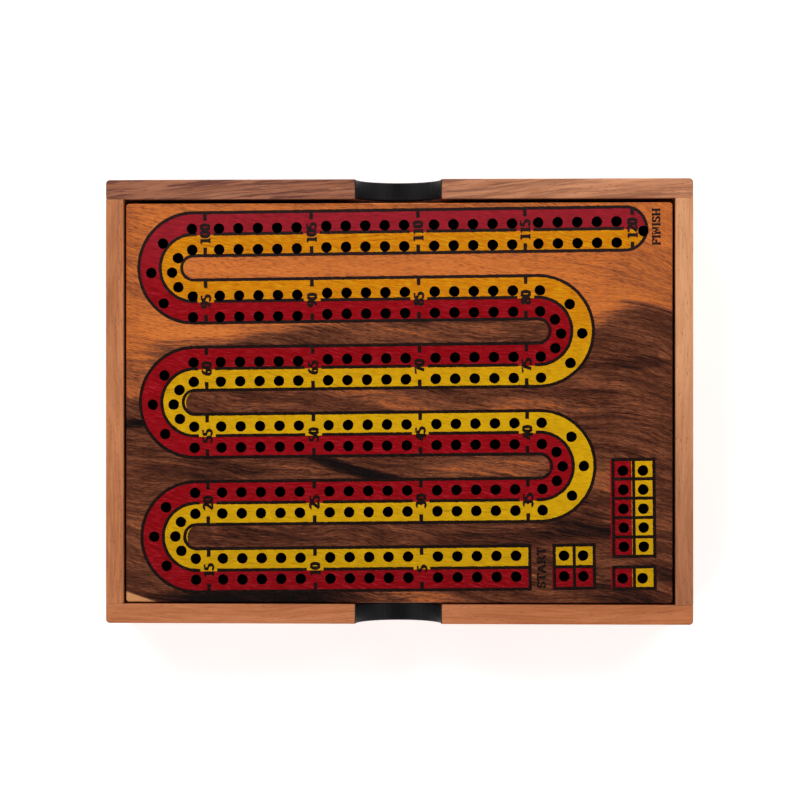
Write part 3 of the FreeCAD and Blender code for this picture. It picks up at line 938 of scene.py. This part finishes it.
def stacked(rings):
    """Points and faces of rings, one above the other. A weld closes a ring that is all one point."""
    verts = [point for ring_points in rings for point in ring_points]
    count, faces = len(rings[0]), []
    for level in range(len(rings) - 1):
        for i in range(count):
            j = (i + 1) % count
            low, high = level * count, (level + 1) * count
            faces.append((low + i, low + j, high + j, high + i))
    return verts, faces


class Parts:
    """Points, faces and material numbers of an object that is put together from parts."""

    def __init__(self):
        self.verts, self.faces, self.kinds = [], [], []

    def add(self, verts, faces, *kinds):
        """Adds a part with one material number for all its faces, or one for each."""
        first = len(self.verts)
        self.verts += verts
        self.faces += [tuple(first + int(v) for v in face) for face in faces]
        self.kinds += kinds if len(kinds) > 1 else kinds * len(faces)


def playing_board(holes, wood, hole_shade):
    """The drilled slab with eased edges."""
    parts = Parts()
    points, triangles = fill([rounded(BOARD_LOW, BOARD_HIGH, BOARD_R, BOARD_EASE)], holes)
    parts.add([(x, y, BOARD_TOP) for x, y in points], triangles, 0)
    levels = arc(BOARD_EASE, BOARD_TOP - BOARD_EASE, -BOARD_EASE, BOARD_EASE, 90, 0, 5)
    levels += [(inset, BOARD_TOP + BOARD_LOW.z - z) for inset, z in levels[::-1]]
    rings = [[(x, y, z) for x, y in rounded(BOARD_LOW, BOARD_HIGH, BOARD_R, inset)] for inset, z in levels]
    parts.add(*stacked(rings), 0)
    parts.add(rings[-1], [range(len(rings[-1]))], 0)
    for x, y in holes:
        rings = [[(a, b, BOARD_TOP) for a, b in mouth(x, y)]]
        for depth in (HOLE_CHAMFER, HOLE_DEPTH):
            rings.append([(a, b, BOARD_TOP - depth) for a, b in circle(x, y, HOLE_R)])
        rings.append([(x, y, BOARD_TOP - HOLE_TIP)] * HOLE_SIDES)
        parts.add(*stacked(rings), 1)
    board = new_object("board_slab", parts.verts, parts.faces, [wood, hole_shade], parts.kinds)
    return smooth_by_angle(weld(board), 32)


def print_on(holes, red, yellow, black):
    """The inks on the board's face: (piece, slot) for each."""
    red_shapes = lane(-UNDERLAP, LANE)
    red_shapes += [cell_fill(START_BOX, 0, 0, START_SPILL), cell_fill(START_BOX, 1, 0)]
    yellow_shapes = lane(-LANE, 0.0) + [cell_fill(START_BOX, column, 1) for column in range(2)]
    for box in (GAMES_BOX, MATCH_BOX):
        rows = range(box[3])
        red_shapes += [cell_fill(box, 0, row, RED_SPILL) for row in rows]
        yellow_shapes += [cell_fill(box, 1, row, YELLOW_SPILL) for row in rows]
    yellow_shapes = [placed(shape, YELLOW_SHIFT, 0.0) for shape in yellow_shapes]
    lines = outline()
    for box in (GAMES_BOX, MATCH_BOX, START_BOX):
        lines += cell_lines(box)
    coats = (
        ("red_lane_ink", red_shapes, 0.8, red, "red_ink"),
        ("yellow_lane_ink", yellow_shapes, 1.0, yellow, "yellow_ink"),
        ("outline_ink", lines, 2.0, black, "black_ink"),
        ("lettering_ink", lettering(), 2.0, black, "black_ink"),
    )
    return [(film(name, shapes, coat * INK, holes, paint), slot) for name, shapes, coat, paint, slot in coats]


# ---- What the wells hold

def card_deck(name, node, back, stock, seed):
    """Fifty-two cards, each lying a little out of line with the one below."""
    low, high = box_of(node)
    middle = (low + high) / 2
    draw = random.Random(seed)
    thick = (high.z - low.z) / CARDS
    parts = Parts()
    for card in range(CARDS):
        x = middle.x + draw.uniform(-CARD_STRAY, CARD_STRAY)
        y = middle.y + draw.uniform(-CARD_STRAY, CARD_STRAY)
        turn = draw.uniform(-CARD_TWIST, CARD_TWIST)
        flat = rounded((-CARD_X / 2, -CARD_Y / 2), (CARD_X / 2, CARD_Y / 2), CARD_R)
        flat = placed(flat, (x, y), turn)
        foot = low.z + card * thick
        verts, faces = stacked([[(a, b, z) for a, b in flat] for z in (foot, foot + CARD_FILL * thick)])
        count = len(flat)
        faces += [range(count)[::-1], range(count, 2 * count)]
        parts.add(verts, faces, *[1] * (count + 1), 0)
    return new_object(name, parts.verts, parts.faces, [back, stock], parts.kinds)


def peg_profile():
    """Radius and height of a turned peg, foot to head, with two grooves cut in its collar."""
    neck = PEG_HEAD_Z - sqrt(PEG_HEAD_R ** 2 - PEG_WAIST_R ** 2)
    profile = [(0.0, 0.0)] + arc(PEG_TIP_R - 0.5, 0.5, 0.5, 0.5, -90, 0, 4)
    profile += [(PEG_TIP_R + 0.03, 1.5), (PEG_SHANK_R - 0.02, PEG_SHANK - 0.4), (PEG_SHANK_R, PEG_SHANK)]
    profile += [(PEG_COLLAR_R - 0.12, PEG_SHANK + 0.75), (PEG_COLLAR_R - 0.01, PEG_SHANK + 0.9)]
    collar = PEG_SHANK + 1.0
    profile.append((PEG_COLLAR_R - 0.02, collar))
    for step in range(1, 16):
        share = step / 16
        sag = (PEG_COLLAR_R - PEG_WAIST_R) * (1 - share) + PEG_WAIST_R - 0.5 * sin(pi * share) * 0.8
        groove = 0.1 if step in (4, 12) else 0.0
        profile.append((sag - groove - 0.02, collar + (neck - collar) * share))
    start = degrees(asin((neck - PEG_HEAD_Z) / PEG_HEAD_R))
    return profile + arc(0, PEG_HEAD_Z, PEG_HEAD_R, PEG_HEAD_R, start, 90, 14)


def peg(name, number, side, paint):
    """A peg lying in its front well, where the CAD part has it."""
    x, y, yaw = PEG_SPREAD[number - 1]
    if side > 0:
        x, yaw = -x, 180 - yaw
    lean = atan2(PEG_HEAD_R - PEG_TIP_R, PEG_HEAD_Z)
    rise = box_of("base_panel")[1].z + PEG_GAP + PEG_HEAD_R - PEG_HEAD_Z * sin(lean)
    low, high = box_of("card_deck_right" if side > 0 else "card_deck_left")
    place = Matrix.Translation(((low.x + high.x) / 2 + x, -(low.y + high.y) / 2 + y, rise))
    place @= Matrix.Rotation(radians(yaw), 4, "Z")
    place @= Matrix.Translation((-PEG_HEAD_Z / 2, 0, 0)) @ Matrix.Rotation(pi / 2 - lean, 4, "Y")
    rings = [[place @ Vector((a, b, height)) for a, b in circle(0, 0, radius, PEG_SIDES)]
             for radius, height in peg_profile()]
    return smooth_by_angle(weld(new_object(name, *stacked(rings), [paint])), 40)


# ---- The object

def give(node, material):
    """A CAD node's own mesh gets this material in every slot."""
    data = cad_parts[node].data
    if not data.materials:
        data.materials.append(material)
    for index in range(len(data.materials)):
        data.materials[index] = material


def make_box():
    """Materials of the rails, base, dividers and brads."""
    rear = rail_wood("rear_rail_wood", "X", 1, ((158, 100, 68), (188, 126, 90), (204, 142, 104)),
                     slope=5.0, streaks=0.9, patches=(0.26, 0.46), fade=((0.61, 0.55, 0.58), 70.0, -40.0),
                     paint=notch_paint)
    front = rail_wood("front_rail_wood", "X", 2, ((158, 91, 54), (175, 106, 66), (190, 120, 78)),
                      slope=1.0, streaks=0.12, fade=((0.93, 0.89, 0.8), 10.0, 60.0), paint=notch_paint)
    left = rail_wood("left_rail_wood", "Y", 3, ((160, 96, 58), (178, 112, 71), (191, 123, 81)), slope=1.0)
    right = rail_wood("right_rail_wood", "Y", 4, ((186, 126, 84), (203, 143, 100), (214, 154, 112)),
                      slope=-1.0, streaks=0.2, fade=((0.56, 0.44, 0.4), 50.0, -75.0))
    inner = ((156, 98, 64), (178, 116, 78), (194, 132, 90))
    dividers = rail_wood("divider_wood", "X", 5, inner)
    cross = rail_wood("cross_divider_wood", "Y", 6, inner)
    steel = brad_steel("brad_steel")
    for node, material in (("rear_rail", rear), ("front_rail", front), ("left_rail", left),
                           ("right_rail", right), ("long_divider", dividers), ("cross_divider", cross),
                           ("left_ledge", cross), ("right_ledge", cross), ("corner_brads", steel),
                           ("base_brads", steel), ("base_panel", plywood("base_plywood"))):
        give(node, material)


def make_board():
    """The drilled board and its print."""
    holes = hole_centres()
    board = playing_board(holes, board_wood("board_wood"), charred("hole_painted_shade"))
    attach(board, "board")
    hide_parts("playing_board")
    red = ink("red_paint", (134, 0, 9), (137, 26, 37), (30.0, 72.0), (174, 36, 50), 0.6)
    yellow = ink("yellow_paint", (201, 153, 2), (195, 116, 3), (0.0, 40.0), (222, 172, 24), 0.55)
    for piece, slot in print_on(holes, red, yellow, black_ink("black_paint")):
        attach(piece, "board")


def make_contents():
    """Two decks of cards and six pegs."""
    stock = card_stock("card_stock")
    for side, shade, seed in (("left", (150, 26, 32), 11), ("right", (26, 54, 118), 12)):
        node = f"card_deck_{side}"
        deck = card_deck(f"deck_{side}_cards", node, card_back(f"card_back_{side}", node, shade), stock, seed)
        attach(deck, f"deck_{side}")
        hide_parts(node)
    for hue, side, shade, worn in (("red", -1, (158, 14, 22), (190, 70, 60)),
                                   ("yellow", 1, (222, 168, 16), (232, 196, 96))):
        paint = peg_paint(f"{hue}_peg_paint", shade, worn)
        for number in (1, 2, 3):
            piece = peg(f"{hue}_turned_peg_{number}", number, side, paint)
            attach(piece, f"{hue}_peg_{number}_body")
            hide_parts(f"{hue}_peg_{number}")


# ---- The studio

CAMERA_TARGET = Vector((0.6, 0.54, 36.0))
CAMERA_DISTANCE = 800.0
CAMERA_LENS = 100.8                 # on a sensor 36 mm wide
CAMERA_LEAN = radians(1.88)         # the camera looks down from a little to the right
LIGHT_HEIGHT = 0.84                 # metres, and each light is a metre out
LIGHT_SIZE = 0.8                    # metres
LIGHTS = ((125, 7.0), (45, 4.8), (-45, 3.8), (-135, 4.3))      # azimuth in degrees, and watts
CEILING = 0.08                      # brightness
WALL = ((0.16, 0.8), (0.6, 0.76), (0.82, CEILING))             # sine of the elevation, and brightness
FLOOR = 3000.0                      # half its side
FLOOR_GAP = 0.0001                  # metres below the box


def make_camera():
    """The camera, almost straight above."""
    data = bpy.data.cameras.new("camera")
    data.sensor_width = 36.0
    data.lens = CAMERA_LENS
    camera = linked("camera", data)
    away = Vector((sin(CAMERA_LEAN), 0, cos(CAMERA_LEAN))) * CAMERA_DISTANCE
    camera.location = (CAMERA_TARGET + away) * MM
    camera.rotation_euler = (0, CAMERA_LEAN, 0)
    bpy.context.scene.camera = camera


def softbox(azimuth, power):
    """A round area light that faces the object."""
    data = bpy.data.lights.new(f"softbox_{azimuth % 360}", "AREA")
    data.shape = "DISK"
    data.size = LIGHT_SIZE
    data.energy = power
    light = linked(data.name, data)
    light.location = (cos(radians(azimuth)), sin(radians(azimuth)), LIGHT_HEIGHT)
    light.rotation_euler = (-light.location).to_track_quat("-Z", "Y").to_euler()


def make_studio():
    """A white floor, pale walls under a dim ceiling, and four large soft lights round the object."""
    bpy.context.scene.view_settings.view_transform = "Standard"
    world = bpy.data.worlds.new("studio")
    world.use_nodes = True
    nodes, links = world.node_tree.nodes, world.node_tree.links
    direction = nodes.new("ShaderNodeTexCoord")
    height = nodes.new("ShaderNodeSeparateXYZ")
    links.new(direction.outputs["Generated"], height.inputs[0])
    wall = nodes.new("ShaderNodeValToRGB")
    links.new(height.outputs["Z"], wall.inputs[0])
    elements = wall.color_ramp.elements
    for place, grey in WALL:
        elements.new(place).color = (grey, grey, grey, 1)
    elements[0].color = WHITE
    elements[-1].color = (CEILING, CEILING, CEILING, 1)
    links.new(wall.outputs[0], nodes["Background"].inputs["Color"])
    bpy.context.scene.world = world
    for azimuth, power in LIGHTS:
        softbox(azimuth, power)
    mat = Material("floor_paper")
    speckle = mat.noise(mat.place, 0.02)
    base = mat.ramp(speckle, [(0.3, (0.86, 0.86, 0.86, 1)), (0.7, (0.9, 0.9, 0.9, 1))])
    mat.finish(base, 0.9, emission_color=WHITE, emission_strength=0.38)
    corners = [(-FLOOR, -FLOOR, 0), (FLOOR, -FLOOR, 0), (FLOOR, FLOOR, 0), (-FLOOR, FLOOR, 0)]
    floor = new_object("floor", corners, [(0, 1, 2, 3)], [mat.material])
    floor.location.z = -FLOOR_GAP


make_box()
make_board()
make_contents()
make_camera()
make_studio()
